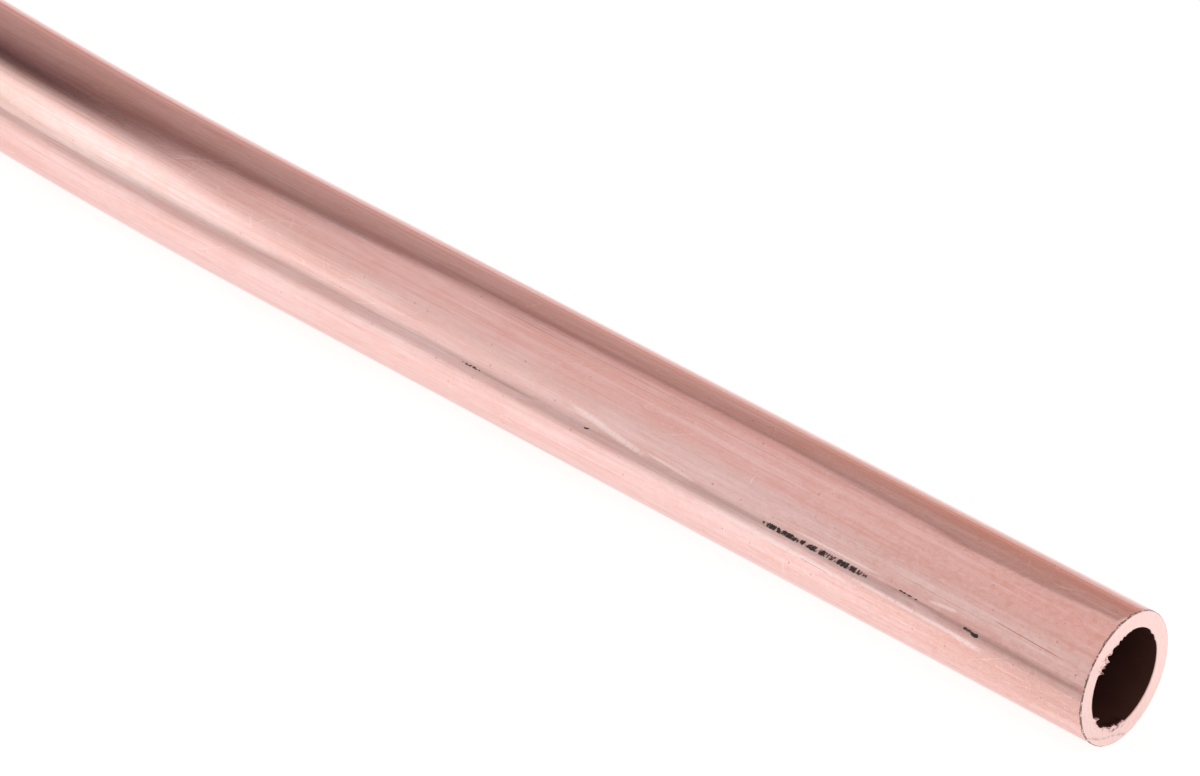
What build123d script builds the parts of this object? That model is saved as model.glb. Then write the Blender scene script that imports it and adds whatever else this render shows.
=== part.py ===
import os
from math import ceil, cos, degrees, pi, radians, sin, tan

from build123d import *

# Copper tube coil: one length of soft tube lying flat on the floor, wound as a
# flat spiral, with its outer end drawn off and pulled nearly straight.
# Millimetres, +Z up, floor at z = 0, centre of the outermost half turn at the
# origin, the free end's mouth looking along +X, the coil on its +Y side.

# Tube section
tube_od = 6.35
tube_wall = 0.80

# Length of the stock, along its centreline
stock_length = 3000.0

# Coil: centreline radius of the outermost half turn, gap between turns,
# and how many short straight chords make a turn
coil_radius = 132.0
turn_gap = 0.40
chords_per_turn = 40

# Free end: straight tip, slow bend, then a straight run onto the coil
tip_straight = 47.6
lead_bend_radius = 308.0
lead_bend_deg = 9.0
lead_run = 112.0

# The bore is open along the straight tip and this far in from the inner end.
# Between them nothing can look in, and the tube is solid.
inner_bore_length = 60.0

# The mouth is cut by hand, a little off square: it leans back at the top
cut_lean_deg = 3.6

tube_radius = tube_od / 2
bore_radius = tube_radius - tube_wall
pitch = tube_od + turn_gap


def along(heading_deg):
    h = radians(heading_deg)
    return Vector(cos(h), sin(h), 0)


def right_of(heading_deg):
    h = radians(heading_deg)
    return Vector(sin(h), -cos(h), 0)


# The centreline runs from the mouth inward and always turns right
tip_deg = 180.0
coil_deg = tip_deg - lead_bend_deg
coil_centre = Vector(0, 0, tube_radius)
coil_start = coil_centre - right_of(coil_deg) * coil_radius
bend_end = coil_start - along(coil_deg) * lead_run
bend_centre = bend_end + right_of(coil_deg) * lead_bend_radius
bend_start = bend_centre - right_of(tip_deg) * lead_bend_radius
mouth = bend_start - along(tip_deg) * tip_straight

# Half turns about two centres, each closer in than the last by half a pitch.
# The corners lie just outside the arc, so that each chord touches it.
lead_length = tip_straight + lead_bend_radius * radians(lead_bend_deg) + lead_run
left_over = stock_length - lead_length
corners = []
centre = coil_centre
radius = coil_radius
heading_deg = coil_deg
while left_over > 0:
    swing_deg = min(180.0, degrees(left_over / radius))
    chords = ceil(swing_deg * chords_per_turn / 360 - 0.01)
    half_deg = swing_deg / chords / 2
    for i in range(chords):
        corner_deg = heading_deg - half_deg * (2 * i + 1)
        corners.append(centre - right_of(corner_deg) * (radius / cos(radians(half_deg))))
    heading_deg = heading_deg - swing_deg
    inner_end = centre - right_of(heading_deg) * radius
    left_over = left_over - radius * radians(swing_deg)
    centre = centre - right_of(heading_deg) * (pitch / 2)
    radius = radius - pitch / 2

with BuildLine() as centreline:
    Line(mouth, bend_start)
    TangentArc(bend_start, bend_end, tangent=along(tip_deg))
    Polyline(bend_end, *corners, inner_end)

# From the inner end back along the last chords, as far as the bore is open
inner_path = [inner_end]
room = inner_bore_length
for corner in reversed(corners):
    step = corner - inner_path[-1]
    inner_path.append(inner_path[-1] + step * min(1, room / step.length))
    room = room - step.length
    if room <= 0:
        break
with BuildLine() as inner_bore:
    Polyline(*inner_path)

with BuildPart() as tube:
    with BuildSketch(Plane(origin=mouth, z_dir=along(tip_deg))):
        Circle(tube_radius)
    sweep(path=centreline.wires()[0], transition=Transition.RIGHT)
    with BuildSketch(Plane(origin=mouth, z_dir=along(tip_deg))):
        Circle(bore_radius)
    extrude(amount=tip_straight, mode=Mode.SUBTRACT)
    with BuildSketch(Plane(origin=inner_end, z_dir=inner_path[1] - inner_end)):
        Circle(bore_radius)
    sweep(path=inner_bore.wires()[0], transition=Transition.RIGHT, mode=Mode.SUBTRACT)
    # The off-square cut takes a thin wedge off the mouth
    lean = tan(radians(cut_lean_deg))
    cut_origin = mouth + along(tip_deg) * (tube_radius * lean)
    split(bisect_by=Plane(origin=cut_origin, z_dir=Vector(1, 0, lean)), keep=Keep.BOTTOM)

tube.part.label = "copper_tube"
print("mouth", mouth, "coil start", coil_start, "inner end", inner_end)
print("chords", len(corners), "inner radius", round(radius + pitch / 2, 2))
print("turns", round((coil_deg - heading_deg) / 360, 3))
print("volume", round(tube.part.volume, 1))
solid_all = pi * tube_radius**2 * stock_length
bored = pi * bore_radius**2 * (tip_straight + inner_bore_length)
print("sections times lengths", round(solid_all - bored, 1))
print("solids", len(tube.part.solids()), "box", tube.part.bounding_box())

os.makedirs("parts", exist_ok=True)
export_step(tube.part, "parts/copper_tube.step")
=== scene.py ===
from math import ceil, cos, degrees, pi, radians, sin, tan

import bpy
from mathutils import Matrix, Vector


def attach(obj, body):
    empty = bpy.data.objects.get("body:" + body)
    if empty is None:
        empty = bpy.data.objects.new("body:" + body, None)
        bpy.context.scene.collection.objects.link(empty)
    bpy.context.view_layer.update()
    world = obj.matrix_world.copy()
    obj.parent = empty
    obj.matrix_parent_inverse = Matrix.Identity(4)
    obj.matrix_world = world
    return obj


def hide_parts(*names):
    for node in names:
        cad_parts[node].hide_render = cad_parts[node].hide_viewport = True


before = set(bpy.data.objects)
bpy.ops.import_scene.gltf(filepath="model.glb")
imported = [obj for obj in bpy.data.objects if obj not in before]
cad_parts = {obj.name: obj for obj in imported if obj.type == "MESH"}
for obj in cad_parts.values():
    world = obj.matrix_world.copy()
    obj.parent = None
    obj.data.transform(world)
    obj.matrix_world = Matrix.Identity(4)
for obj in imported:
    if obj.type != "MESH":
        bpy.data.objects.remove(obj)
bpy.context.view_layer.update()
mm = 0.001
print("frame loaded, nodes:", sorted(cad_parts))

# The tube and its coil, in millimetres and degrees, as in the solid
tube = {
    "outside": 6.35,
    "wall": 0.80,
    "stockLength": 3000.0,
    "coilRadius": 132.0,
    "turnGap": 0.40,
    "tipStraight": 47.6,
    "bendRadius": 308.0,
    "bendDeg": 9.0,
    "leadRun": 112.0,
    "cutLeanDeg": 3.6,
    "cutFade": 6.0,             # the off-square cut fades out over this length
    "roundSegments": 168,
    "burredDeg": (-98, 108),    # the side with most of the burr
    "burredShare": 0.76,        # how many of the segments go to that side
    "edgeBreak": 0.06,          # rubbed-off edge of the cut
    "burr": 0.28,               # how far the cutter pushed the bore's edge inwards
    "dents": 0.012,             # unevenness of the wall
    "turnDrift": 0.10,          # how far a turn strays from its true circle
    "driftFrom": (200, 400),    # the drift sets in over this length
    "seamGap": 0.002,
    "seed": 7.0,
}


# Node helpers, for geometry, materials and the world alike

def feed(tree, socket, value):
    if isinstance(value, bpy.types.NodeSocket):
        tree.links.new(value, socket)
    elif value is not None:
        socket.default_value = value


def addNode(tree, kind, inputs=None, **settings):
    node = tree.nodes.new(kind)
    for name, value in settings.items():
        setattr(node, name, value)
    for name, value in (inputs or {}).items():
        feed(tree, node.inputs[name], value)
    return node


def calc(tree, operation, *values, clamp=False):
    node = addNode(tree, "ShaderNodeMath", operation=operation, use_clamp=clamp)
    for socket, value in zip(node.inputs, values):
        feed(tree, socket, value)
    return node.outputs[0]


def times(tree, product, *others):
    for other in others:
        product = calc(tree, "MULTIPLY", product, other)
    return product


def greatest(tree, values):
    most = values[0]
    for value in values[1:]:
        most = calc(tree, "MAXIMUM", most, value)
    return most


def awayFrom(tree, value, middle):
    return calc(tree, "ABSOLUTE", calc(tree, "SUBTRACT", value, middle))


def vectorCalc(tree, operation, a, b=None):
    node = addNode(tree, "ShaderNodeVectorMath", operation=operation)
    feed(tree, node.inputs[0], a)
    if operation == "SCALE":
        feed(tree, node.inputs["Scale"], b)
    else:
        feed(tree, node.inputs[1], b)
    return node.outputs["Value" if operation in ("DOT_PRODUCT", "LENGTH") else "Vector"]


def ramp(tree, value, low, high, toLow=0.0, toHigh=1.0, smooth=True):
    kind = "SMOOTHSTEP" if smooth else "LINEAR"
    inputs = {"Value": value, "From Min": low, "From Max": high, "To Min": toLow, "To Max": toHigh}
    return addNode(tree, "ShaderNodeMapRange", inputs, interpolation_type=kind).outputs["Result"]


def joinXyz(tree, x, y, z):
    return addNode(tree, "ShaderNodeCombineXYZ", {"X": x, "Y": y, "Z": z}).outputs[0]


def splitXyz(tree, vector):
    return addNode(tree, "ShaderNodeSeparateXYZ", {"Vector": vector}).outputs


def noise(tree, vector, scale, detail=2.0, rough=0.5, output="Fac"):
    inputs = {"Vector": vector, "Scale": scale, "Detail": detail, "Roughness": rough}
    return addNode(tree, "ShaderNodeTexNoise", inputs, noise_dimensions="3D").outputs[output]


def stretched(tree, vector, x, y, z):
    return vectorCalc(tree, "MULTIPLY", vector, (x, y, z))


def facing(tree, angle, middleDeg):
    return calc(tree, "COSINE", calc(tree, "SUBTRACT", angle, radians(middleDeg)))


def mound(tree, angle, middleDeg, halfDeg, fullShare, height):
    # rises about one angle round the tube, full over a share of its half width
    edge = cos(radians(halfDeg))
    full = cos(radians(halfDeg * fullShare))
    return ramp(tree, facing(tree, angle, middleDeg), edge, full, 0.0, height)


# Path of the tube: from the mouth inward, always turning right

def along(headingDeg):
    return Vector((cos(radians(headingDeg)), sin(radians(headingDeg)), 0))


def rightOf(headingDeg):
    return Vector((sin(radians(headingDeg)), -cos(radians(headingDeg)), 0))


def pathLegs():
    pitch = tube["outside"] + tube["turnGap"]
    legs = [(tube["tipStraight"], None)]
    legs.append((tube["bendRadius"] * radians(tube["bendDeg"]), tube["bendRadius"]))
    legs.append((tube["leadRun"], None))
    leftOver = tube["stockLength"] - sum(length for length, _ in legs)
    radius = tube["coilRadius"]
    while leftOver > 0:
        halfTurn = min(pi * radius, leftOver)
        legs.append((halfTurn, radius))
        leftOver -= halfTurn
        radius -= pitch / 2
    return legs


tipDeg = 180.0
coilDeg = tipDeg - tube["bendDeg"]
tubeRadius = tube["outside"] / 2
boreRadius = tubeRadius - tube["wall"]
coilStart = Vector((0, 0, tubeRadius)) - rightOf(coilDeg) * tube["coilRadius"]
bendEnd = coilStart - along(coilDeg) * tube["leadRun"]
bendStart = bendEnd + (rightOf(coilDeg) - rightOf(tipDeg)) * tube["bendRadius"]
mouth = bendStart - along(tipDeg) * tube["tipStraight"]
cutLean = tan(radians(tube["cutLeanDeg"]))
cutBack = tubeRadius * cutLean
faceCentre = mouth + along(tipDeg) * cutBack


def makeCentreline():
    # one Bezier spline, a quarter turn or less to each stretch
    knots = [[mouth, along(tipDeg), 0.0, 0.0]]
    place, headingDeg = mouth.copy(), tipDeg
    for length, radius in pathLegs():
        if radius is None:
            stretches, stepDeg, handle = 1, 0.0, length / 3
        else:
            sweepDeg = degrees(length / radius)
            stretches = ceil(sweepDeg / 90 - 0.01)
            stepDeg = sweepDeg / stretches
            handle = 4 / 3 * tan(radians(stepDeg / 4)) * radius    # a circle's arc
        for _ in range(stretches):
            knots[-1][3] = handle
            if radius is None:
                place = place + along(headingDeg) * length
            else:
                centre = place + rightOf(headingDeg) * radius
                headingDeg -= stepDeg
                place = centre - rightOf(headingDeg) * radius
            knots.append([place, along(headingDeg), handle, 0.0])
    curve = bpy.data.curves.new("centreline", "CURVE")
    curve.dimensions = "3D"
    curve.resolution_u = 64
    spline = curve.splines.new("BEZIER")
    spline.bezier_points.add(len(knots) - 1)
    for point, (place, direction, before, after) in zip(spline.bezier_points, knots):
        point.co = place * mm
        point.handle_left_type = point.handle_right_type = "FREE"
        point.handle_left = (place - direction * before) * mm
        point.handle_right = (place + direction * after) * mm
    obj = bpy.data.objects.new("centreline", curve)
    bpy.context.scene.collection.objects.link(obj)
    return obj


# Stations of the wall, in millimetres: how far each stretch goes, and its steps
section = {
    "outsideLegs": [(190, 12), (80, 4), (3, 1)],
    "outsideLastStep": 0.25,
    "farRoom": 0.3,             # the outside's first station stays this far off the far end
    "boreStart": 0.65,
    "boreLegs": [(3, 0.4), (60, 4)],
    "boreCoilStep": 20,
    "boreFar": (60, 4),         # the last stretch before the far end
    "roundedEdge": [(1.0, 0.0), (0.4, 0.12), (0.12, 0.4), (0.0, 1.0)],    # back and in, as shares
    "faceRim": 0.12,
    "burrOnFace": [(0.26, 0.0), (0.17, 0.2), (0.11, 0.45)],    # out from the bore, share of the burr
    "burrOnEdge": 0.85,
    "burrInBore": [(0.10, 1.0), (0.16, 0.9), (0.23, 0.7), (0.32, 0.4), (0.45, 0.15)],    # in from the cut
}


def wallStations(start, legs):
    stations = []
    for stop, step in legs:
        count = max(1, round(abs(stop - start) / step))
        stations += [start + (stop - start) * i / count for i in range(count)]
        start = stop
    return stations


def sectionRows():
    # once round the wall: the length from the cut, the radius, the zone and the share of the burr;
    # zone 0 is the drawn outside, 1 the cut faces and 2 the bore
    far = tube["stockLength"] - cutBack
    edge = tube["edgeBreak"]
    middle = (tubeRadius + boreRadius) / 2
    rounded = section["roundedEdge"]
    outsideLegs = section["outsideLegs"] + [(edge, section["outsideLastStep"])]
    rows = [(s, tubeRadius, 0, 0) for s in wallStations(far - section["farRoom"], outsideLegs)]
    rows += [(edge * back, tubeRadius - edge * inward, 1, 0) for back, inward in rounded]
    rows += [(0, tubeRadius - section["faceRim"], 1, 0), (0, middle, 1, 0)]
    rows += [(0, boreRadius + out, 1, burr) for out, burr in section["burrOnFace"]]
    onEdge = section["burrOnEdge"]
    rows += [(edge * back, boreRadius + edge * inward, 1, onEdge) for back, inward in reversed(rounded)]
    rows += [(s, boreRadius, 2, burr) for s, burr in section["burrInBore"]]
    farLength, farStep = section["boreFar"]
    boreLegs = section["boreLegs"] + [(far - farLength, section["boreCoilStep"]), (far - edge, farStep)]
    rows += [(s, boreRadius, 2, 0) for s in wallStations(section["boreStart"], boreLegs)]
    rows += [(far - edge * back, boreRadius + edge * inward, 1, 0) for back, inward in rounded]
    rows += [(far, middle, 1, 0)]
    rows += [(far - edge * back, tubeRadius - edge * inward, 1, 0) for back, inward in reversed(rounded)]
    return rows


def makeWallSection():
    rows = sectionRows()
    mesh = bpy.data.meshes.new("wallSection")
    mesh.from_pydata([(s, r, 0) for s, r, _, _ in rows], [], [])
    for name, column in (("zone", 2), ("burr", 3)):
        values = [float(row[column]) for row in rows]
        mesh.attributes.new(name, "FLOAT", "POINT").data.foreach_set("value", values)
    obj = bpy.data.objects.new("tube_coil", mesh)
    bpy.context.scene.collection.objects.link(obj)
    print("wall section points:", len(rows))
    return obj


# Where the cutter left its burr, degrees round the bore from the coil's outer side,
# half width in degrees and height as a share of the burr
burrPlaces = [(72, 33, 0.55), (52, 16, 1.0), (-27, 9, 1.0), (-68, 27, 0.75), (155, 12, 0.40)]

# Shallow hollows near the mouth: millimetres from the cut, degrees round, half length,
# half width in degrees and depth; one with a depth below zero stands out
hollows = [(26.5, 70, 17.0, 22, 0.055), (5.2, 70, 5.0, 22, -0.045)]


def addTubeSockets(tree):
    face = tree.interface
    face.new_socket("Wall section", in_out="INPUT", socket_type="NodeSocketGeometry")
    named = {}
    for name, kind in (
        ("Centreline", "NodeSocketObject"),
        ("Round segments", "NodeSocketInt"),
        ("Cut back", "NodeSocketFloat"),
        ("Cut lean", "NodeSocketFloat"),
        ("Burr", "NodeSocketFloat"),
        ("Dents", "NodeSocketFloat"),
        ("Turn drift", "NodeSocketFloat"),
        ("Seed", "NodeSocketFloat"),
    ):
        named[name] = face.new_socket(name, in_out="INPUT", socket_type=kind).identifier
    face.new_socket("Tube", in_out="OUTPUT", socket_type="NodeSocketGeometry")
    return named


def makeGrid(tree, given):
    # one column to each point of the wall section, one row to each step round
    size = addNode(tree, "GeometryNodeAttributeDomainSize", {"Geometry": given["Wall section"]})
    columns = size.outputs["Point Count"]
    rowCount = calc(tree, "ADD", given["Round segments"], 1)
    counts = {"Vertices X": calc(tree, "ADD", columns, 1), "Vertices Y": rowCount}
    grid = addNode(tree, "GeometryNodeMeshGrid", {"Size X": 1.0, "Size Y": 1.0, **counts})
    index = addNode(tree, "GeometryNodeInputIndex").outputs[0]
    column = calc(tree, "FLOOR", calc(tree, "DIVIDE", calc(tree, "ADD", index, 0.5), rowCount))
    row = calc(tree, "SUBTRACT", index, times(tree, column, rowCount))
    share = calc(tree, "DIVIDE", row, given["Round segments"])
    startDeg, stopDeg = tube["burredDeg"]
    split = tube["burredShare"]
    burred = ramp(tree, share, 0.0, split, radians(startDeg), radians(stopDeg), smooth=False)
    plain = ramp(tree, share, split, 1.0, 0.0, radians(360 - stopDeg + startDeg), smooth=False)
    column = calc(tree, "FLOORED_MODULO", column, columns)
    return grid.outputs["Mesh"], column, calc(tree, "ADD", burred, plain)


def fromSection(tree, given, column, value, kind):
    inputs = {"Geometry": given["Wall section"], "Value": value, "Index": column}
    node = addNode(tree, "GeometryNodeSampleIndex", inputs, data_type=kind, domain="POINT")
    return node.outputs["Value"]


def attributeOf(tree, name):
    return addNode(tree, "GeometryNodeInputNamedAttribute", {"Name": name}, data_type="FLOAT").outputs[0]


def burrAndCurl(tree, given, angle, cosine, sine, radius):
    # ragged, and only where the cutter left it
    ring = joinXyz(tree, cosine, sine, given["Seed"])
    lumps = ramp(tree, noise(tree, ring, 7.0, 3.0, 0.55), 0.32, 0.70)
    teeth = ramp(tree, noise(tree, ring, 17.0, 3.0, 0.6), 0.30, 0.70, 0.65, 1.20, smooth=False)
    places = [mound(tree, angle, middle, half, 0.6, share) for middle, half, share in burrPlaces]
    burr = times(tree, greatest(tree, places), lumps, given["Burr"], teeth)
    tornRing = joinXyz(tree, cosine, sine, times(tree, radius, 3.0))
    curl = noise(tree, tornRing, 26.0, 2.0, 0.6)
    return burr, ramp(tree, curl, 0.30, 0.70, -0.35, 0.95, smooth=False)


def wallDents(tree, given, angle, cosine, sine, length):
    wander = stretched(tree, joinXyz(tree, cosine, sine, length), 0.55, 0.55, 0.055)
    dent = calc(tree, "SUBTRACT", noise(tree, wander, 1.0, 2.0, 0.45), 0.5)
    dent = times(tree, dent, given["Dents"], 2.0)
    for start, middleDeg, halfLength, halfDeg, depth in hollows:
        near = ramp(tree, awayFrom(tree, length, start), halfLength, halfLength * 0.4)
        hollow = times(tree, near, mound(tree, angle, middleDeg, halfDeg, 0.0, depth))
        dent = calc(tree, "SUBTRACT", dent, hollow)
    return dent


def ontoPath(tree, given, length, lengthNow, across, upward):
    path = addNode(tree, "GeometryNodeObjectInfo", {"Object": given["Centreline"]})
    inputs = {"Curves": path.outputs["Geometry"], "Length": times(tree, lengthNow, mm)}
    sample = addNode(tree, "GeometryNodeSampleCurve", inputs, mode="LENGTH", use_all_curves=True)
    side = vectorCalc(tree, "CROSS_PRODUCT", (0, 0, 1), sample.outputs["Tangent"])
    side = vectorCalc(tree, "NORMALIZE", side)
    # past the lead, a turn drifts a little to and fro
    spot = joinXyz(tree, times(tree, length, 0.011), given["Seed"], 0.0)
    drift = calc(tree, "SUBTRACT", noise(tree, spot, 1.0, 1.0), 0.5)
    drift = times(tree, drift, given["Turn drift"], ramp(tree, length, *tube["driftFrom"], 0.0, 2.0))
    sideways = calc(tree, "ADD", across, drift)
    offset = vectorCalc(tree, "SCALE", side, times(tree, sideways, mm))
    moved = vectorCalc(tree, "ADD", sample.outputs["Position"], offset)
    return vectorCalc(tree, "ADD", moved, joinXyz(tree, 0.0, 0.0, times(tree, upward, mm)))


def dressTube(tree, current, materials):
    gap = tube["seamGap"] * mm
    merge = addNode(tree, "GeometryNodeMergeByDistance", {"Geometry": current, "Distance": gap})
    smooth = addNode(tree, "GeometryNodeSetShadeSmooth", {"Geometry": merge.outputs["Geometry"]})
    real = addNode(tree, "GeometryNodeRealizeInstances", {"Geometry": smooth.outputs["Geometry"]})
    current = real.outputs["Geometry"]
    zone = attributeOf(tree, "zone")
    picks = (
        (materials["drawn"], None),
        (materials["cut"], calc(tree, "COMPARE", zone, 1.0, 0.45)),
        (materials["bore"], calc(tree, "GREATER_THAN", zone, 1.45)),
    )
    for material, pick in picks:
        inputs = {"Geometry": current, "Material": material, "Selection": pick}
        current = addNode(tree, "GeometryNodeSetMaterial", inputs).outputs["Geometry"]
    out = addNode(tree, "NodeGroupOutput")
    feed(tree, out.inputs[0], current)


def makeTubeTree(materials):
    tree = bpy.data.node_groups.new("tubeCoil", "GeometryNodeTree")
    named = addTubeSockets(tree)
    given = addNode(tree, "NodeGroupInput").outputs
    mesh, column, angle = makeGrid(tree, given)
    position = addNode(tree, "GeometryNodeInputPosition").outputs[0]
    place = splitXyz(tree, fromSection(tree, given, column, position, "FLOAT_VECTOR"))
    length, radius = place["X"], place["Y"]
    zone = fromSection(tree, given, column, attributeOf(tree, "zone"), "FLOAT")
    burrShare = fromSection(tree, given, column, attributeOf(tree, "burr"), "FLOAT")
    cosine, sine = calc(tree, "COSINE", angle), calc(tree, "SINE", angle)

    # the wall is a little uneven, less so in the bore, and burred at the mouth
    burr, curl = burrAndCurl(tree, given, angle, cosine, sine, radius)
    burr = times(tree, burr, burrShare)
    dent = wallDents(tree, given, angle, cosine, sine, length)
    outsideShare = ramp(tree, zone, 0.0, 2.0, 1.0, 0.0, smooth=False)
    radiusNow = calc(tree, "ADD", radius, times(tree, dent, outsideShare))
    radiusNow = calc(tree, "SUBTRACT", radiusNow, burr)
    across, upward = times(tree, radiusNow, cosine), times(tree, radiusNow, sine)

    # the off-square cut fades out a few millimetres in
    fade = ramp(tree, length, 0.0, tube["cutFade"], 1.0, 0.0, smooth=False)
    lengthNow = calc(tree, "ADD", length, times(tree, upward, given["Cut lean"], fade))
    lengthNow = calc(tree, "SUBTRACT", lengthNow, times(tree, burr, curl))
    lengthNow = calc(tree, "ADD", lengthNow, given["Cut back"])
    placed = ontoPath(tree, given, length, lengthNow, across, upward)
    shape = addNode(tree, "GeometryNodeSetPosition", {"Geometry": mesh, "Position": placed})

    # the tube unrolled straight, in millimetres, for the finishes
    straight = joinXyz(tree, across, upward, length)
    current = shape.outputs["Geometry"]
    for name, kind, value in (("tubeMm", "FLOAT_VECTOR", straight), ("zone", "FLOAT", zone)):
        inputs = {"Geometry": current, "Name": name, "Value": value}
        store = addNode(tree, "GeometryNodeStoreNamedAttribute", inputs, data_type=kind, domain="POINT")
        current = store.outputs["Geometry"]
    dressTube(tree, current, materials)
    return tree, named


# Finishes

copper = {
    "pink": (0.888, 0.660, 0.640, 1),
    "tan": (0.838, 0.560, 0.508, 1),
    # tarnish serves also as painted shade on the top edge, and amber only as that
    "tarnishAndShade": (0.76, 0.440, 0.375, 1),
    "amberTopShade": (0.74, 0.405, 0.280, 1),
    "freckle": (0.42, 0.170, 0.120, 1),
    "blackMark": (0.026, 0.019, 0.017, 1),
    # smudge serves also as painted dark reflection, along the dark line reflected in the tube
    "smudgeAndShade": (0.30, 0.200, 0.185, 1),
    # rubbed serves also as painted highlight beside the dark reflected line
    "rubbedAndSheen": (0.96, 0.785, 0.760, 1),
    "roughness": 0.11,
    "edgeTint": (0.95, 0.89, 0.89, 1),    # what is left of a reflection that only grazes the wall
    "lineDepth": 0.00002,
    "lineStrength": 0.12,
}

# Marks on the drawn wall, handling marks along with painted dark reflection and painted highlight:
# millimetres from the mouth, degrees round from the coil's outer side, half length, half width, degrees
# of slant to a millimetre, strength
scuffs = [
    (13.7, 22.6, 2.3, 0.26, 0.0, 0.95),
    (16.6, 22.2, 1.2, 0.23, 0.0, 0.95),
    (9.6, 25.2, 0.62, 0.07, 0.5, 0.95),
    (6.34, 22.7, 0.26, 0.12, 0.0, 1.03),
    (5.95, 21.4, 0.26, 0.17, 0.0, 1.04),
    (34.5, 23.0, 0.70, 0.10, 0.0, 0.95),
    (27.7, 22.2, 0.18, 0.06, -4.0, 1.2),
]
# painted dark reflection: streaky dark marks that deepen the dark line reflected along the tube
darkReflectionMarks = [
    (4.0, 22.4, 6.0, 0.30, 0.0, 0.46),
    (2.4, 20.6, 3.4, 0.09, 0.0, 0.50),
    (9.0, 24.2, 2.4, 0.14, 0.0, 0.46),
    (12.5, 21.0, 4.0, 0.32, 0.0, 0.34),
    (18.4, 21.0, 4.6, 0.22, 0.0, 0.40),
    (24.5, 18.2, 9.5, 0.46, 0.0, 0.18),
    (32.4, 22.6, 2.0, 0.10, 0.0, 0.50),
]
# partly painted highlight: the long pale marks either side of the dark reflected line are painted
# highlight, the short ones across the tube are scratches
rubsAndHighlights = [
    (13.6, 28.6, 2.6, 0.10, 0.0, 0.9),
    (9.2, 14.4, 4.2, 0.15, 0.3, 1.0),
    (17.0, 11.0, 4.6, 0.24, 0.3, 1.0),
    (26.5, 29.0, 2.4, 0.23, 2.1, 1.0),
    (22.9, 26.4, 1.6, 0.10, 1.0, 0.7),
    (7.8, 30.4, 0.8, 0.12, -1.9, 0.8),
    (6.3, 12.4, 0.9, 0.20, 1.0, 1.0),
    (18.9, 49.5, 0.06, 0.34, 0.0, 0.5),
    (16.3, -9.0, 0.06, 0.75, 0.0, 0.5),
    (19.6, -4.0, 0.05, 0.60, 0.0, 0.4),
]
hairlines = [
    (3.4, 38.6, 2.2, 0.022, 0.52, 0.9),
    (7.5, 36.0, 2.6, 0.016, 0.40, 0.5),
    (22.0, 74.0, 6.0, 0.018, -0.25, 0.5),
    (29.0, 79.0, 7.0, 0.016, -0.20, 0.5),
    (14.6, 8.5, 0.9, 0.025, 0.60, 0.6),
]


def newMaterial(name):
    material = bpy.data.materials.new(name)
    material.use_nodes = True
    tree = material.node_tree
    tree.nodes.clear()
    shader = addNode(tree, "ShaderNodeBsdfPrincipled")
    out = addNode(tree, "ShaderNodeOutputMaterial")
    tree.links.new(shader.outputs[0], out.inputs["Surface"])
    return material, tree, shader


def addBump(tree, shader, strength, depth, height):
    inputs = {"Strength": strength, "Distance": depth, "Height": height}
    bump = addNode(tree, "ShaderNodeBump", inputs)
    tree.links.new(bump.outputs[0], shader.inputs["Normal"])


def mixColour(tree, share, a, b):
    node = addNode(tree, "ShaderNodeMix", data_type="RGBA")
    feed(tree, node.inputs[0], share)
    feed(tree, node.inputs[6], a)
    feed(tree, node.inputs[7], b)
    return node.outputs[2]


def paint(tree, colour, tint, *shares):
    # a tint of the copper over a colour, as strong as its shares multiplied
    return mixColour(tree, times(tree, *shares), colour, copper[tint])


def tubeVector(tree):
    return addNode(tree, "ShaderNodeAttribute", attribute_name="tubeMm").outputs["Vector"]


def angleRound(tree, parts):
    return calc(tree, "ARCTAN2", parts["Y"], parts["X"])


def markMask(tree, wall, marks, soft):
    masks = []
    for start, middleDeg, halfLength, halfWidth, slant, strength in marks:
        off = calc(tree, "SUBTRACT", wall["length"], start)
        middle = calc(tree, "MULTIPLY_ADD", off, radians(slant), radians(middleDeg))
        u = calc(tree, "POWER", calc(tree, "ABSOLUTE", calc(tree, "DIVIDE", off, halfLength)), 3.0)
        v = times(tree, calc(tree, "SUBTRACT", wall["turn"], middle), tubeRadius / halfWidth)
        away = vectorCalc(tree, "LENGTH", joinXyz(tree, u, v, 0.0))
        masks.append(ramp(tree, away, 1.0, soft, 0.0, strength))
    return greatest(tree, masks)


def band(tree, wall, middleDeg, edge, full):
    # along the tube at one angle, out to edge and full within full, in radians
    return ramp(tree, awayFrom(tree, wall["turn"], radians(middleDeg)), edge, full)


def drawnWall(tree):
    # where on the tube, and the patterns that the drawn finish is made of
    vector = tubeVector(tree)
    parts = splitXyz(tree, vector)
    turn = angleRound(tree, parts)
    return {
        "vector": vector,
        "length": parts["Z"],
        "turn": turn,
        "arc": times(tree, turn, tubeRadius),
        "lines": noise(tree, stretched(tree, vector, 5.0, 5.0, 0.10), 1.0, 4.0, 0.65),
        "fineLines": noise(tree, stretched(tree, vector, 17.0, 17.0, 0.35), 1.0, 3.0, 0.65),
        "patches": noise(tree, stretched(tree, vector, 0.55, 0.55, 0.16), 1.0, 3.0, 0.6),
        "mottle": noise(tree, stretched(tree, vector, 1.8, 1.8, 1.1), 1.0, 4.0, 0.65),
        "blotch": noise(tree, stretched(tree, vector, 3.2, 3.2, 2.2), 1.0, 5.0, 0.70),
        "streaks": noise(tree, stretched(tree, vector, 2.8, 2.8, 0.07), 1.0, 5.0, 0.72),
        "grain": noise(tree, stretched(tree, vector, 8.0, 8.0, 4.5), 1.0, 3.0, 0.7),
    }


# Tones of the drawn metal: the pattern, where it starts and is full, its strength and tint
drawnTones = [
    ("patches", 0.38, 0.70, 0.85, "tan"),
    ("lines", 0.46, 0.70, 0.75, "tan"),
    ("fineLines", 0.52, 0.70, 0.56, "tarnishAndShade"),
    ("fineLines", 0.44, 0.30, 0.45, "rubbedAndSheen"),
    ("mottle", 0.50, 0.72, 0.50, "tan"),
]


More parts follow.
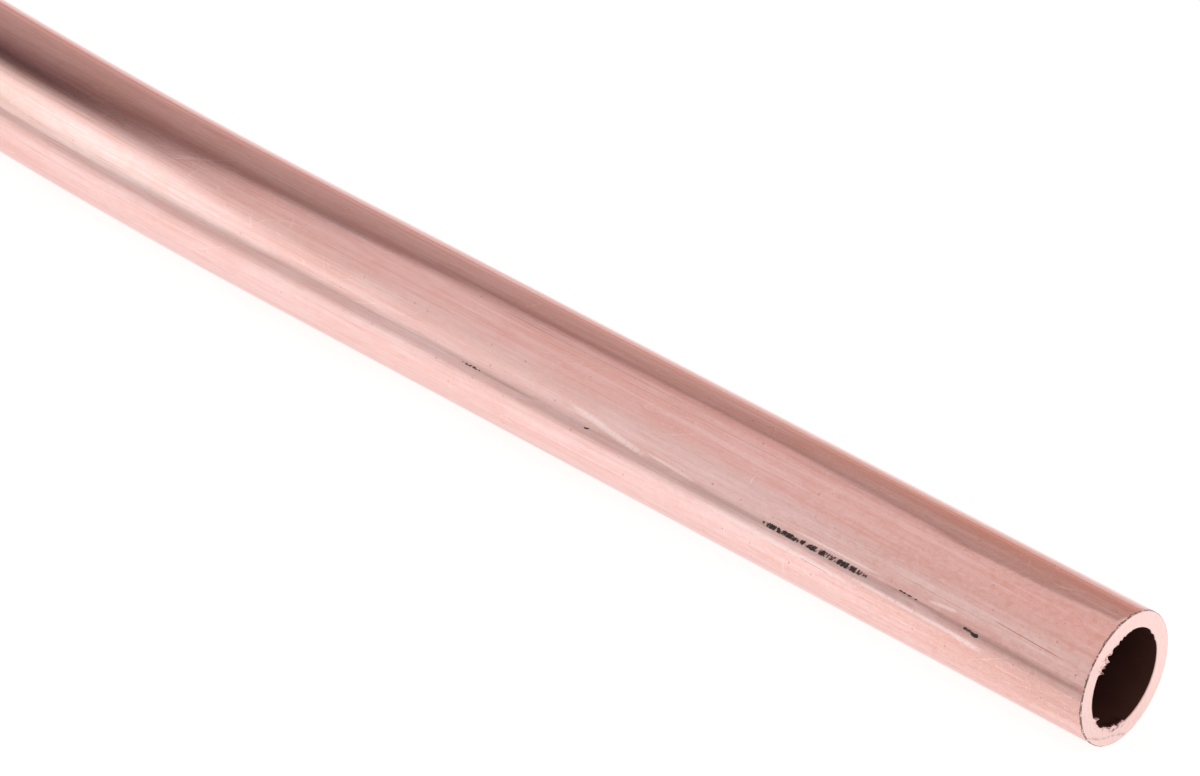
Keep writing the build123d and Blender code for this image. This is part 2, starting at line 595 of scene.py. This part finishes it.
def addTarnishAndShade(tree, wall, colour):
    # towards the cut, and in bands along the tube; those along the top are painted shade
    length, turn, lines = wall["length"], wall["turn"], wall["lines"]
    mottled = ramp(tree, wall["mottle"], 0.34, 0.62, 0.25, 1.0)
    above = ramp(tree, turn, radians(-34), radians(-14), 0.4, 1.0)
    colour = paint(tree, colour, "tan", ramp(tree, length, 16.0, 0.5), mottled, above)
    nearTip = ramp(tree, length, 15.0, 4.0, 0.0, 0.70)
    streaked = ramp(tree, lines, 0.38, 0.56, 0.2, 1.0)
    colour = paint(tree, colour, "tarnishAndShade", band(tree, wall, 4, 0.26, 0.08), nearTip, streaked)
    blotched = ramp(tree, wall["blotch"], 0.45, 0.66, 0.0, 0.60)
    colour = paint(tree, colour, "tarnishAndShade", blotched, ramp(tree, length, 22.0, 4.0, 0.25, 1.0))
    below = ramp(tree, turn, radians(24), radians(12))
    over = ramp(tree, turn, radians(-20), radians(-4))
    colour = paint(tree, colour, "smudgeAndShade", ramp(tree, length, 10.0, 1.0, 0.0, 0.22), below, over)
    # painted shade: tan, tarnish-coloured and amber bands darken the top of the far side
    streaked = ramp(tree, lines, 0.38, 0.58, 0.15, 0.65)
    colour = paint(tree, colour, "tan", band(tree, wall, 116, 0.20, 0.05), streaked)
    nearTip = ramp(tree, length, 22.0, 9.0)
    colour = paint(tree, colour, "tarnishAndShade", band(tree, wall, 107.5, 0.22, 0.06), nearTip)
    nearTip = ramp(tree, length, 28.0, 12.0, 0.0, 0.45)
    pastCut = ramp(tree, length, 2.0, 8.0)
    return paint(tree, colour, "amberTopShade", band(tree, wall, 114, 0.19, 0.04), nearTip, pastCut)


def addStreaks(tree, wall, colour):
    # long streaks left by the die, and a fine grain on the handled tip
    length, streaks, grain = wall["length"], wall["streaks"], wall["grain"]
    share = ramp(tree, length, 60.0, 22.0, 0.26, 0.50)
    colour = paint(tree, colour, "tarnishAndShade", ramp(tree, streaks, 0.51, 0.66), share)
    colour = paint(tree, colour, "rubbedAndSheen", ramp(tree, streaks, 0.49, 0.34), share)
    share = ramp(tree, length, 45.0, 12.0, 0.0, 0.17)
    colour = paint(tree, colour, "tarnishAndShade", ramp(tree, grain, 0.50, 0.68), share)
    return paint(tree, colour, "rubbedAndSheen", ramp(tree, grain, 0.50, 0.34), share)


def addScratches(tree, wall, colour):
    # thin and stray, in two directions, on some patches of the wall
    length, arc = wall["length"], wall["arc"]
    worn = ramp(tree, wall["patches"], 0.45, 0.60)
    for slope, spread, strength in ((0.35, 0.10, 0.50), (-1.6, 0.22, 0.42)):
        across = calc(tree, "MULTIPLY_ADD", length, slope, arc)
        down = calc(tree, "MULTIPLY_ADD", arc, -slope, length)
        field = joinXyz(tree, times(tree, across, 0.9), times(tree, down, spread), slope)
        off = awayFrom(tree, noise(tree, field, 1.0, 1.0, 0.5), 0.5)
        colour = paint(tree, colour, "rubbedAndSheen", ramp(tree, off, 0.007, 0.0, 0.0, strength), worn)
    return colour


def addFreckles(tree, wall, colour):
    # in some cells of a scatter, with ragged edges
    length = wall["length"]
    ragged = vectorCalc(tree, "SCALE", noise(tree, wall["vector"], 4.0, 2.0, 0.6, "Color"), 0.14)
    unrolled = vectorCalc(tree, "ADD", joinXyz(tree, wall["arc"], length, 0.0), ragged)
    inputs = {"Vector": unrolled, "Scale": 1.1}
    cells = addNode(tree, "ShaderNodeTexVoronoi", inputs, voronoi_dimensions="2D")
    chance = splitXyz(tree, cells.outputs["Color"])["X"]
    dotSize = ramp(tree, chance, 0.60, 1.0, 0.0, 0.075, smooth=False)
    dot = ramp(tree, calc(tree, "SUBTRACT", dotSize, cells.outputs["Distance"]), 0.0, 0.02)
    return paint(tree, colour, "freckle", dot, ramp(tree, length, 55.0, 22.0, 0.18, 0.46))


def darkCutRim(tree, wall):
    # darker along the cut's rubbed edge, ragged
    ring = stretched(tree, wall["vector"], 1.0, 1.0, 0.0)
    reach = ramp(tree, noise(tree, ring, 2.6, 4.0, 0.7), 0.30, 0.66, 0.03, 0.16, smooth=False)
    return ramp(tree, calc(tree, "SUBTRACT", reach, wall["length"]), 0.0, 0.06, 0.0, 0.78)


def drawnCopper():
    material, tree, shader = newMaterial("drawnCopper")
    wall = drawnWall(tree)
    length, arc, lines = wall["length"], wall["arc"], wall["lines"]
    colour = copper["pink"]
    for pattern, start, full, strength, tint in drawnTones:
        colour = paint(tree, colour, tint, ramp(tree, wall[pattern], start, full, 0.0, strength))
    colour = addTarnishAndShade(tree, wall, colour)
    colour = addStreaks(tree, wall, colour)
    colour = addScratches(tree, wall, colour)
    colour = addFreckles(tree, wall, colour)

    # rubs and painted highlight, painted dark reflection, hairlines and scuffs, each in its place
    slanted = calc(tree, "MULTIPLY_ADD", arc, 3.0, times(tree, length, 5.4))
    chunks = noise(tree, joinXyz(tree, slanted, times(tree, arc, 2.0), 0.0), 1.0, 4.0, 0.7)
    # pale rubs, partly painted highlight
    rubAndHighlight = times(tree, markMask(tree, wall, rubsAndHighlights, 0.1), ramp(tree, chunks, 0.26, 0.52))
    colour = paint(tree, colour, "rubbedAndSheen", rubAndHighlight)
    streaked = ramp(tree, lines, 0.25, 0.6, 0.5, 1.0)
    # painted dark reflection, deepening the dark reflected line
    colour = paint(tree, colour, "smudgeAndShade", markMask(tree, wall, darkReflectionMarks, 0.0), streaked)
    colour = paint(tree, colour, "freckle", markMask(tree, wall, hairlines, 0.3))
    black = markMask(tree, wall, scuffs, 0.35)
    scuff = ramp(tree, calc(tree, "MULTIPLY_ADD", black, 0.42, chunks), 0.79, 0.90)
    scuff = times(tree, scuff, ramp(tree, black, 0.02, 0.25))
    dark = calc(tree, "MAXIMUM", scuff, darkCutRim(tree, wall))
    colour = paint(tree, colour, "blackMark", dark)

    tree.links.new(colour, shader.inputs["Base Color"])
    shader.inputs["Specular Tint"].default_value = copper["edgeTint"]
    bare = calc(tree, "SUBTRACT", 1.0, times(tree, dark, 0.8))
    tree.links.new(bare, shader.inputs["Metallic"])
    rough = calc(tree, "MULTIPLY_ADD", calc(tree, "SUBTRACT", lines, 0.5), 0.08, copper["roughness"])
    rough = calc(tree, "ADD", rough, times(tree, calc(tree, "ADD", dark, rubAndHighlight), 0.25))
    tree.links.new(rough, shader.inputs["Roughness"])
    height = calc(tree, "MULTIPLY_ADD", wall["fineLines"], 0.5, lines)
    height = calc(tree, "ADD", height, times(tree, rubAndHighlight, 1.5))
    height = calc(tree, "SUBTRACT", height, times(tree, scuff, 2.0))
    addBump(tree, shader, copper["lineStrength"], copper["lineDepth"], height)
    return material


cutFace = {
    "pale": (0.935, 0.735, 0.705, 1),
    "deep": (0.905, 0.665, 0.625, 1),
    "darkRimAndScratch": (0.10, 0.070, 0.065, 1),
    "tornPitShade": (0.24, 0.075, 0.045, 1),
    # painted shade: the bore's near-black colours stand in for the shade deep inside the tube
    "boreShadeDeep": (0.085, 0.034, 0.025, 1),
    "boreShadePale": (0.140, 0.058, 0.043, 1),
    "roughness": 0.40,
    "boreRoughness": 0.55,
    "boreMetal": 0.6,
    "sawDepth": 0.00001,
    "sawStrength": 0.15,
}
# a scratch across the foot of the face, point to point in millimetres from the bore's axis
faceScratch = [(2.68, -1.55), (1.82, -2.19), (0.96, -2.55), (0.0, -3.06)]


def distanceToLine(tree, flat, start, stop):
    way = Vector((stop[0] - start[0], stop[1] - start[1], 0))
    off = vectorCalc(tree, "SUBTRACT", flat, (start[0], start[1], 0))
    share = vectorCalc(tree, "DOT_PRODUCT", off, way / way.length_squared)
    nearest = vectorCalc(tree, "SCALE", way, calc(tree, "ADD", share, 0.0, clamp=True))
    return vectorCalc(tree, "LENGTH", vectorCalc(tree, "SUBTRACT", off, nearest))


def cutCopper():
    material, tree, shader = newMaterial("cutCopper")
    vector = tubeVector(tree)
    turn = angleRound(tree, splitXyz(tree, vector))
    sawn = noise(tree, stretched(tree, vector, 7.0, 2.4, 1.0), 1.0, 4.0, 0.65)
    colour = mixColour(tree, ramp(tree, sawn, 0.35, 0.70), cutFace["pale"], cutFace["deep"])
    flat = stretched(tree, vector, 1, 1, 0)
    radius = vectorCalc(tree, "LENGTH", flat)
    # darker in the rubbed edge, broken, more so towards the coil's outer side
    rim = ramp(tree, radius, tubeRadius - tube["edgeBreak"], tubeRadius - 0.02)
    broken = ramp(tree, noise(tree, flat, 3.4, 4.0, 0.75), 0.36, 0.52)
    darkRimAndScratch = times(tree, rim, broken, ramp(tree, facing(tree, turn, 20), -0.45, 0.25, 0.58, 0.85))
    sawnShare = ramp(tree, sawn, 0.3, 0.6)
    for start, stop in zip(faceScratch, faceScratch[1:]):
        line = ramp(tree, distanceToLine(tree, flat, start, stop), 0.10, 0.0, 0.0, 0.34)
        darkRimAndScratch = calc(tree, "MAXIMUM", darkRimAndScratch, times(tree, line, sawnShare))
    colour = mixColour(tree, darkRimAndScratch, colour, cutFace["darkRimAndScratch"])
    # painted shade: small dark pits where the burr is torn
    places = [mound(tree, turn, middle, half, 0.5, share) for middle, half, share in burrPlaces[1:4]]
    torn = times(tree, greatest(tree, places), ramp(tree, radius, boreRadius + 0.24, boreRadius + 0.06))
    pitShadeMask = ramp(tree, noise(tree, vector, 4.6, 3.0, 0.7), 0.52, 0.58, 0.0, 0.95)
    colour = mixColour(tree, times(tree, torn, pitShadeMask), colour, cutFace["tornPitShade"])
    tree.links.new(colour, shader.inputs["Base Color"])
    shader.inputs["Metallic"].default_value = 1.0
    shader.inputs["Roughness"].default_value = cutFace["roughness"]
    addBump(tree, shader, cutFace["sawStrength"], cutFace["sawDepth"], sawn)
    return material


def boreCopper():
    material, tree, shader = newMaterial("boreCopper")
    # painted shade: a near-black bore, for the shade deep inside the tube
    cloud = noise(tree, stretched(tree, tubeVector(tree), 1.0, 1.0, 0.4), 1.0, 3.0, 0.6)
    colour = mixColour(tree, cloud, cutFace["boreShadeDeep"], cutFace["boreShadePale"])
    tree.links.new(colour, shader.inputs["Base Color"])
    shader.inputs["Metallic"].default_value = cutFace["boreMetal"]
    shader.inputs["Roughness"].default_value = cutFace["boreRoughness"]
    return material


def makeTube():
    materials = {"drawn": drawnCopper(), "cut": cutCopper(), "bore": boreCopper()}
    print("finishes made:", sorted(m.name for m in materials.values()))
    path = makeCentreline()
    obj = makeWallSection()
    tree, named = makeTubeTree(materials)
    modifier = obj.modifiers.new("tubeCoil", "NODES")
    modifier.node_group = tree
    for name, value in (
        ("Centreline", path),
        ("Round segments", tube["roundSegments"]),
        ("Cut back", cutBack),
        ("Cut lean", cutLean),
        ("Burr", tube["burr"]),
        ("Dents", tube["dents"]),
        ("Turn drift", tube["turnDrift"]),
        ("Seed", tube["seed"]),
    ):
        modifier[named[name]] = value
    evaluated = obj.evaluated_get(bpy.context.evaluated_depsgraph_get())
    mesh = bpy.data.meshes.new_from_object(evaluated)
    obj.modifiers.remove(modifier)
    obj.data = mesh
    mesh.name = "tube_coil"
    bpy.data.objects.remove(path)
    mesh.calc_loop_triangles()
    print("tube made:", len(mesh.loop_triangles), "triangles")
    return obj


tubeCoil = makeTube()
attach(tubeCoil, "root")
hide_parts("copper_tube")

# Floor, camera and world

studio = {
    "floorHalf": 30.0,
    "floorGrey": 0.65,
    "floorSeen": 0.67,
    "floorGlow": 0.66,
    "stripFront": (-0.1754, -0.1568, 0.34),    # where the floor's bright strip along the tip
    "stripBack": (-0.1230, -0.1460, 0.52),     # fades out, and the share of it left there
    "underTube": (0.002, 0.006, 0.93),         # a little less light beneath the tube
    "overhead": (0.797, 0.701, 0.691, 1),
    "overheadTop": (0.835, 0.660, 0.640, 1),
    "overheadRise": (0.55, 0.95),
    "panelEdges": (((-0.913, 1.0, -0.916), 0.02), ((-0.359, 1.0, -0.523), 0.079)),
    "behindLow": (0.484, 0.357, 0.331, 1),
    "behindHigh": (0.318, 0.148, 0.158, 1),
    "behindRise": (0.642, 1.159),
    "behindRight": (0.634, 0.475, 0.438),
    "behindFoot": (0.02, 0.18, 1.30),          # brighter close to the floor
    "gap": (-0.46, 0.377, 0.80),               # a dark gap beside the end of the panel
    "gapDeg": (2, 9),
    "gapLeft": 0.66,
    "left": (1.05, 1.05, 1.02),
    "leftDeg": (-64.4, 3.0),
    "leftReach": (36.0, 48.5),
}
view = {
    "lens": 204.0,
    "sensor": 36.0,
    "clipStart": 0.01,
    "fromMouth": (121.574, -182.35, 195.82),
    "looking": (-0.4921, 0.5946, -0.6359),
}


def rayOutputs(tree):
    return addNode(tree, "ShaderNodeLightPath").outputs


def makeFloor():
    half = studio["floorHalf"]
    corners = [(-half, -half, 0), (half, -half, 0), (half, half, 0), (-half, half, 0)]
    mesh = bpy.data.meshes.new("floor")
    mesh.from_pydata(corners, [], [(0, 1, 2, 3)])
    floor = bpy.data.objects.new("floor", mesh)
    bpy.context.scene.collection.objects.link(floor)
    material = bpy.data.materials.new("whiteFloor")
    material.use_nodes = True
    tree = material.node_tree
    tree.nodes.clear()
    grey = studio["floorGrey"]
    matt = addNode(tree, "ShaderNodeBsdfDiffuse", {"Color": (grey, grey, grey, 1)})
    # seen by the camera it is white, and in the metal it is a bright strip along the tip
    rays = rayOutputs(tree)
    across = splitXyz(tree, addNode(tree, "ShaderNodeTexCoord").outputs["Object"])["Y"]
    dark, bright, share = studio["stripFront"]
    front = ramp(tree, across, dark, bright, share, 1.0)
    dark, bright, share = studio["stripBack"]
    back = ramp(tree, across, bright, dark, 1.0, share)
    dark, bright, share = studio["underTube"]
    under = ramp(tree, awayFrom(tree, across, mouth.y * mm), dark, bright, share, 1.0)
    mirrored = calc(tree, "MAXIMUM", rays["Is Glossy Ray"], rays["Is Transmission Ray"])
    glow = times(tree, mirrored, front, back, under, studio["floorGlow"])
    seen = times(tree, rays["Is Camera Ray"], studio["floorSeen"])
    lamp = addNode(tree, "ShaderNodeEmission", {"Strength": calc(tree, "MAXIMUM", glow, seen)})
    both = addNode(tree, "ShaderNodeAddShader")
    tree.links.new(matt.outputs[0], both.inputs[0])
    tree.links.new(lamp.outputs[0], both.inputs[1])
    out = addNode(tree, "ShaderNodeOutputMaterial")
    tree.links.new(both.outputs[0], out.inputs["Surface"])
    mesh.materials.append(material)


def makeCamera():
    data = bpy.data.cameras.new("camera")
    data.lens = view["lens"]
    data.sensor_width = view["sensor"]
    data.clip_start = view["clipStart"]
    camera = bpy.data.objects.new("camera", data)
    bpy.context.scene.collection.objects.link(camera)
    camera.location = (faceCentre + Vector(view["fromMouth"])) * mm
    camera.rotation_euler = Vector(view["looking"]).to_track_quat("-Z", "Y").to_euler()
    bpy.context.scene.camera = camera


def fromPlan(right, away, up):
    # a fixed direction, told from the photo's viewpoint: to the right, away from it, up
    ahead = Vector(view["looking"]).xy.normalized()
    x = right * ahead.y + away * ahead.x
    y = away * ahead.y - right * ahead.x
    return Vector((x, y, up)).normalized()


def degreesOff(tree, direction, axis):
    angle = calc(tree, "ARCCOSINE", vectorCalc(tree, "DOT_PRODUCT", direction, axis))
    return calc(tree, "DEGREES", angle)


def makeWorld():
    # soft studio: a panel overhead, a brighter one to the left, a dim room behind
    world = bpy.data.worlds.new("studio")
    bpy.context.scene.world = world
    world.use_nodes = True
    tree = world.node_tree
    tree.nodes.clear()
    direction = addNode(tree, "ShaderNodeTexCoord").outputs["Generated"]
    high = splitXyz(tree, direction)["Z"]
    insides = []
    for edge, soft in studio["panelEdges"]:
        past = vectorCalc(tree, "DOT_PRODUCT", direction, fromPlan(*edge))
        insides.append(ramp(tree, past, -soft, soft, 1.0, 0.0))
    panel = greatest(tree, insides)
    overRise = ramp(tree, high, *studio["overheadRise"])
    over = mixColour(tree, overRise, studio["overhead"], studio["overheadTop"])
    rise = ramp(tree, high, *studio["behindRise"], smooth=False)
    room = mixColour(tree, rise, studio["behindLow"], studio["behindHigh"])
    toRight = vectorCalc(tree, "DOT_PRODUCT", direction, fromPlan(1, 0, 0))
    room = vectorCalc(tree, "ADD", room, vectorCalc(tree, "SCALE", studio["behindRight"], toRight))
    room = vectorCalc(tree, "MAXIMUM", room, (0, 0, 0))
    toGap = degreesOff(tree, direction, fromPlan(*studio["gap"]))
    dim = ramp(tree, toGap, *studio["gapDeg"], studio["gapLeft"], 1.0)
    dim = times(tree, dim, ramp(tree, high, *studio["behindFoot"], 1.0))
    light = mixColour(tree, panel, vectorCalc(tree, "SCALE", room, dim), over)
    leftDeg, leftUpDeg = studio["leftDeg"]
    leftAxis = fromPlan(sin(radians(leftDeg)), cos(radians(leftDeg)), tan(radians(leftUpDeg)))
    near, far = studio["leftReach"]
    left = ramp(tree, degreesOff(tree, direction, leftAxis), far, near)
    light = vectorCalc(tree, "ADD", light, vectorCalc(tree, "SCALE", studio["left"], left))
    lit = addNode(tree, "ShaderNodeBackground", {"Color": light, "Strength": 1.0})
    white = addNode(tree, "ShaderNodeBackground", {"Color": (1, 1, 1, 1), "Strength": 1.0})
    pick = addNode(tree, "ShaderNodeMixShader")
    feed(tree, pick.inputs[0], rayOutputs(tree)["Is Camera Ray"])
    tree.links.new(lit.outputs[0], pick.inputs[1])
    tree.links.new(white.outputs[0], pick.inputs[2])
    out = addNode(tree, "ShaderNodeOutputWorld")
    tree.links.new(pick.outputs[0], out.inputs["Surface"])


makeFloor()
makeWorld()
makeCamera()
bpy.context.scene.view_settings.view_transform = "Standard"
print("studio made")
